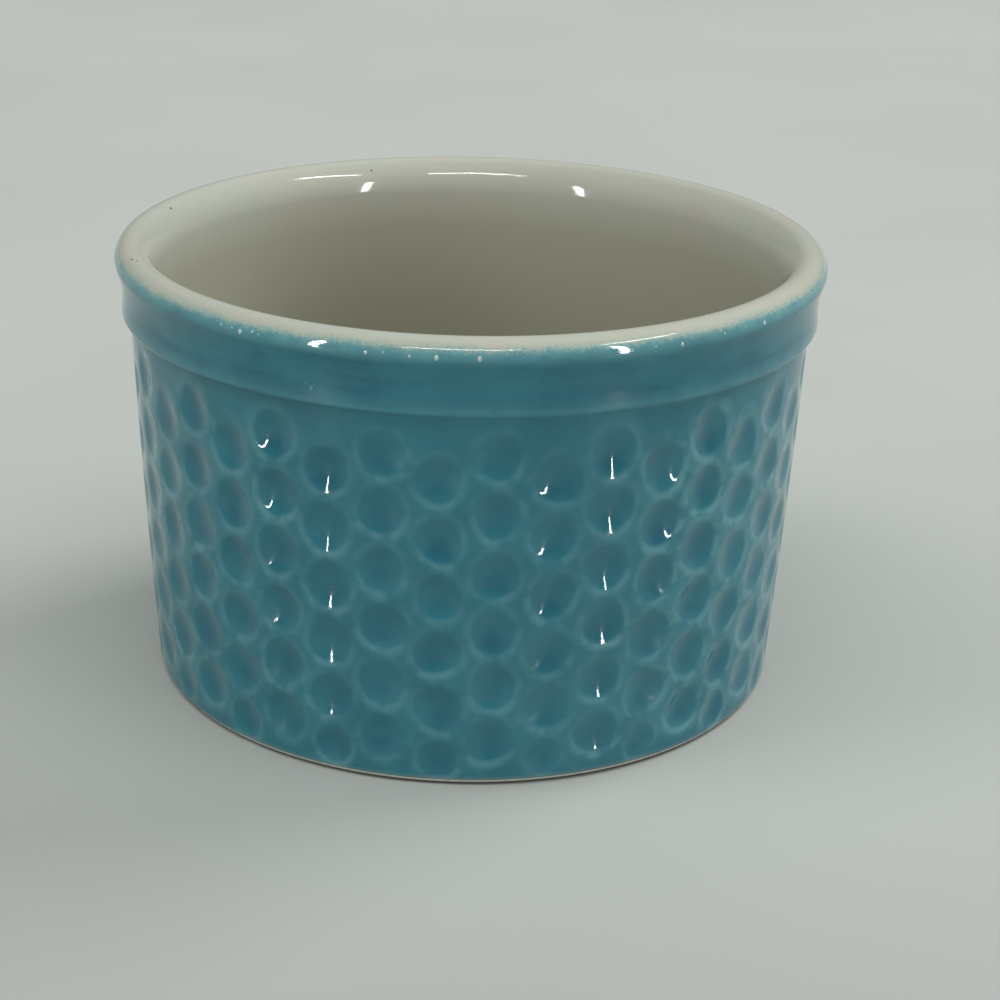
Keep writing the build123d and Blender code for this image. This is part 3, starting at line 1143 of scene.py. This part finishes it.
# painted shade for the inside of the cup
inner_painted_shade_colour = screen_colour(165, 164, 148)
pinhole_colour = screen_colour(74, 66, 52)
inner_shade_top = 60.0 * mm
inner_shade_bottom = 53.0 * mm
white_roughness = 0.07
cool_patch_scale = 60.0
buff_patch_scale = 140.0
buff_share = 0.5
white_peel_scales = (300.0, 1200.0)
white_bump_strength = 0.3


def make_white():
    """Glossy warm white, for the liner."""
    material, tree, shader, coordinates = new_material("white_gloss_glaze", white_roughness)
    cool = add_range(tree, add_noise(tree, coordinates, cool_patch_scale, 3.0), 0.35, 0.65)
    base = add_mix(tree, cool, white_colour, pale_white_colour)
    buff = add_noise(tree, coordinates, buff_patch_scale, 4.0)
    buff = add_range(tree, buff, 0.55, 0.75, 0.0, buff_share)
    base = add_mix(tree, buff, base, buff_white_colour)
    height = add_place(tree, coordinates)["Z"]
    # painted shade: the white turns darker and warmer down inside the cup
    inner = add_range(tree, height, inner_shade_top, inner_shade_bottom)
    base = add_mix(tree, inner, base, inner_painted_shade_colour)
    for dot in pinholes:
        base = add_mix(tree, add_pinhole(tree, coordinates, *dot), base, pinhole_colour)
    white, fringe = add_ragged_edge(tree, coordinates, edge_wander, edge_specks)
    base = add_mix(tree, fringe, base, fringe_colour)
    tree.links.new(add_mix(tree, white, thin_and_painted_sheen_colour, base), shader.inputs["Base Color"])
    peel = add_peel(tree, coordinates, *white_peel_scales)
    add_bump(tree, shader, peel, white_bump_strength, peel_depth)
    return material


white = make_white()
print(white.name, len(white.node_tree.nodes), "nodes")

# %% [markdown]
# ## The white of the beads
# The beads lie below the line where the glazes meet, so the ragged edge would paint them
# turquoise. They have a plainer white of their own, tinted by the glaze that they lie in.

# %% Bead white
bead_colour = screen_colour(178, 208, 208)
bead_roughness = 0.12
bead_patch_scale = 900.0


def make_bead_white():
    """A plain white, a little tinted."""
    material, tree, shader, coordinates = new_material("white_bead_glaze", bead_roughness)
    cool = add_range(tree, add_noise(tree, coordinates, bead_patch_scale, 3.0), 0.35, 0.65)
    tree.links.new(add_mix(tree, cool, bead_colour, pale_white_colour), shader.inputs["Base Color"])
    return material


bead_white = make_bead_white()
print(bead_white.name, len(bead_white.node_tree.nodes), "nodes")

# %% [markdown]
# ## The bare clay
# Unglazed stoneware is matt and gritty. Its pale buff colour is broken by darker and lighter
# grains, and the same grains raise a fine bump. The rounded outer edge where the foot meets the
# floor is painted dark, a painted shadow, which draws a thin dark line round the foot.

# %% Clay
clay_colour = screen_colour(172, 174, 166)
pale_clay_colour = screen_colour(196, 198, 190)
grit_colour = screen_colour(128, 114, 94)
# painted shadow along the foot's outer edge, where it meets the floor
painted_shadow_colour = screen_colour(76, 72, 68)
painted_shadow_fade = 0.1 * mm
painted_shadow_top = 0.45 * mm
painted_shadow_full = 0.3 * mm
clay_roughness = 0.85
grain_scale = 2500.0
grit_scale = 5200.0
grit_depth = 0.08 * mm
clay_bump_strength = 0.5


def make_clay():
    """Matt buff clay with a fine grit and a painted shadow on its outer edge."""
    material, tree, shader, coordinates = new_material("bare_buff_clay", clay_roughness)
    grain = add_noise(tree, coordinates, grain_scale, 4.0, 0.7)
    base = add_mix(tree, add_range(tree, grain, 0.3, 0.7), clay_colour, pale_clay_colour)
    grit = add_range(tree, add_noise(tree, coordinates, grit_scale, 1.0), 0.66, 0.72)
    base = add_mix(tree, grit, base, grit_colour)
    place = add_place(tree, coordinates)
    reach = add_axis_distance(tree, place)
    # painted shadow: the outer rounding of the foot is darkened low down
    outer = add_range(tree, reach, foot_contact_radius, foot_contact_radius + painted_shadow_fade)
    painted_shadow = add_math(tree, "MULTIPLY", outer, add_range(tree, place["Z"], painted_shadow_top, painted_shadow_full))
    tree.links.new(add_mix(tree, painted_shadow, base, painted_shadow_colour), shader.inputs["Base Color"])
    add_bump(tree, shader, grain, clay_bump_strength, grit_depth)
    return material


clay = make_clay()
print(clay.name, len(clay.node_tree.nodes), "nodes")

# %% [markdown]
# ## Giving each piece its finish and its place in the frame
# A piece rides on the frame's one body and gets its material; the table also names its finish in
# the record, which is not used. The frame's node that it stands for is hidden, and a line says
# which it is.

# %% Finishes and the frame
finishes = (
    (wall_coat, turquoise, "turquoise_glaze", "turquoise_outer_glaze"),
    (band_coat, turquoise, "turquoise_glaze", "turquoise_outer_glaze"),
    (underside, turquoise, "turquoise_glaze", "underside_glaze"),
    (liner, white, "white_glaze", "white_liner_glaze"),
    (rim_beads, bead_white, "white_glaze", "rim_glaze_beads"),
    (clay_body, clay, "stoneware", "stoneware_body"),
)
for piece, material, slot, node in finishes:
    piece.data.materials.clear()
    piece.data.materials.append(material)
    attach(piece, "root")
    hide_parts(node)
    print(piece.name, "stands for", node)

# %% [markdown]
# ## The floor
# The vessel stands on a large pale sheet. Its colour makes the background pale. A
# faint unevenness in colour and a soft sheen keep it from looking like a flat fill. In front it
# is painted a shade darker: a painted shadow of the photographer, who stood in the light.

# %% Floor
floor_reach = 8.0
front_shade_start = -20 * mm
front_shade_end = -140 * mm
paper_roughness = 0.6
cloud_scale = 9.0
paper_colour = screen_colour(182, 186, 181)
paper_shade_colour = screen_colour(178, 182, 177)
paper_painted_shadow_colour = screen_colour(164, 166, 164)


def make_floor():
    """A wide pale sheet with a faintly uneven colour."""
    bpy.ops.object.select_all(action="DESELECT")
    bpy.ops.mesh.primitive_circle_add(vertices=96, radius=floor_reach, fill_type="NGON", location=(0, 0, 0))
    sheet = bpy.context.object
    sheet.name = "pale_floor"
    material, tree, shader, coordinates = new_material("pale_paper", paper_roughness)
    cloud = add_range(tree, add_noise(tree, coordinates, cloud_scale, 3.0), 0.3, 0.7)
    paper = add_mix(tree, cloud, paper_colour, paper_shade_colour)
    # painted shadow: the sheet turns darker towards the front
    front = add_range(tree, add_place(tree, coordinates)["Y"], front_shade_start, front_shade_end)
    tree.links.new(add_mix(tree, front, paper, paper_painted_shadow_colour), shader.inputs["Base Color"])
    sheet.data.materials.append(material)
    return sheet


pale_floor = make_floor()
print(pale_floor.name, "reaches", floor_reach, "m")

# %% [markdown]
# ## The light
# The photograph was taken in plain indoor light: a broad soft light from above, one from the
# front, one from behind on the right and a weak one from the left. Two tall narrow lights, left
# and right of the camera, draw a bright stroke in every dimple that faces halfway towards
# them, and two thin level tubes draw the fine lines on the rim. So there are two kinds of lamp
# here. The broad ones light the scene and are hidden from reflections, where they would lie as
# large white patches on the rim. The thin ones are seen in reflections alone. In the table
# below, a lamp has its direction round the vessel and its elevation, in degrees, its distance,
# width and height in metres, its power, and whether it is one of the mirrored kind.

# %% Lamps
def add_panel(name, angle, elevation, distance, width, height, power, mirrored):
    """A rectangular lamp that faces the vessel, seen either in reflections or as soft light."""
    turn = math.radians(angle)
    rise = math.radians(elevation)
    outward = Vector((math.sin(turn) * math.cos(rise), -math.cos(turn) * math.cos(rise), math.sin(rise)))
    lamp = bpy.data.lights.new(name, "AREA")
    lamp.shape = "RECTANGLE"
    lamp.size = width
    lamp.size_y = height
    lamp.energy = power
    holder = bpy.data.objects.new(name, lamp)
    holder.location = outward * distance + Vector((0, 0, rim_height / 2))
    holder.rotation_euler = outward.to_track_quat("Z", "Y").to_euler()
    holder.visible_glossy = mirrored
    holder.visible_diffuse = not mirrored
    holder.visible_camera = False
    bpy.context.scene.collection.objects.link(holder)
    print(name, "at", [round(x, 2) for x in holder.location])
    return holder


panels = (
    ("left_strip", -44.8, 14.3, 0.479, 0.019, 0.29, 0.75, True),
    ("right_strip", 44.6, 14.8, 0.344, 0.013, 0.235, 0.42, True),
    ("front_tube", -2, 49, 3.6, 1.9, 0.06, 22.0, True),
    ("right_tube", 70, 49, 3.6, 1.5, 0.06, 18.0, True),
    ("right_window", 118, 38, 3.2, 1.6, 1.6, 58.0, False),
    ("left_window", -75, 40, 3.2, 1.6, 1.6, 16.0, False),
    ("front_panel", 15, 11, 4.0, 8.0, 1.3, 56.0, False),
    ("top_panel", -4, 76, 4.4, 8.0, 2.4, 124.0, False),
)
for panel in panels:
    add_panel(*panel)

# %% [markdown]
# ## The room
# The world fills the rest of the light with a pale glow, a little weaker in reflections. What
# the camera itself sees behind the floor's edge has the floor's own colour, so that the
# background stays even from every side.

# %% World
room_strength = 0.5
reflection_dimming = 0.14
room_colour = screen_colour(214, 218, 214)

world = bpy.data.worlds.new("pale_room")
bpy.context.scene.world = world
world.use_nodes = True
world_tree = world.node_tree
world_tree.nodes.clear()
world_output = add_node(world_tree, "ShaderNodeOutputWorld")
room = add_node(world_tree, "ShaderNodeBackground", {"Color": room_colour})
backdrop = add_node(world_tree, "ShaderNodeBackground", {"Color": paper_colour, "Strength": 1.0})
light_path = add_node(world_tree, "ShaderNodeLightPath")
dimming = add_math(world_tree, "MULTIPLY", light_path.outputs["Is Glossy Ray"], reflection_dimming)
world_tree.links.new(add_math(world_tree, "SUBTRACT", room_strength, dimming), room.inputs["Strength"])
seen = light_path.outputs["Is Camera Ray"]
either = add_node(world_tree, "ShaderNodeMixShader")
world_tree.links.new(seen, either.inputs["Fac"])
world_tree.links.new(room.outputs["Background"], either.inputs[1])
world_tree.links.new(backdrop.outputs["Background"], either.inputs[2])
world_tree.links.new(either.outputs["Shader"], world_output.inputs["Surface"])
print(world.name, "glows at", room_strength)

# %% [markdown]
# ## The camera
# The camera stands where the photograph was taken: in front and above, close to the vessel, with
# a long lens. Its place and turn come from fitting the rim and the foot to the picture.
# The picture's centre lies a little to the side of the lens axis, which a small shift gives.

# %% Camera
camera_distance = 311.1 * mm
camera_height = 147.7 * mm
camera_pitch = 0.3812
camera_yaw = -0.0122
camera_roll = 0.0170
camera_lens = 80.22
camera_shift = 0.06

forward = Vector((
    math.sin(camera_yaw) * math.cos(camera_pitch),
    math.cos(camera_yaw) * math.cos(camera_pitch),
    -math.sin(camera_pitch),
))
level_right = Vector((math.cos(camera_yaw), -math.sin(camera_yaw), 0))
level_up = level_right.cross(forward)
camera_right = math.cos(camera_roll) * level_right + math.sin(camera_roll) * level_up
camera_up = -math.sin(camera_roll) * level_right + math.cos(camera_roll) * level_up
camera = bpy.data.objects.new("photo_camera", bpy.data.cameras.new("photo_camera"))
bpy.context.scene.collection.objects.link(camera)
camera.data.lens = camera_lens
camera.data.shift_x = camera_shift
turn_matrix = Matrix((camera_right, camera_up, -forward)).transposed().to_4x4()
camera.matrix_world = Matrix.Translation((0, -camera_distance, camera_height)) @ turn_matrix
bpy.context.scene.camera = camera
bpy.context.scene.view_settings.view_transform = "Standard"
print("camera at", [round(x, 3) for x in camera.location])
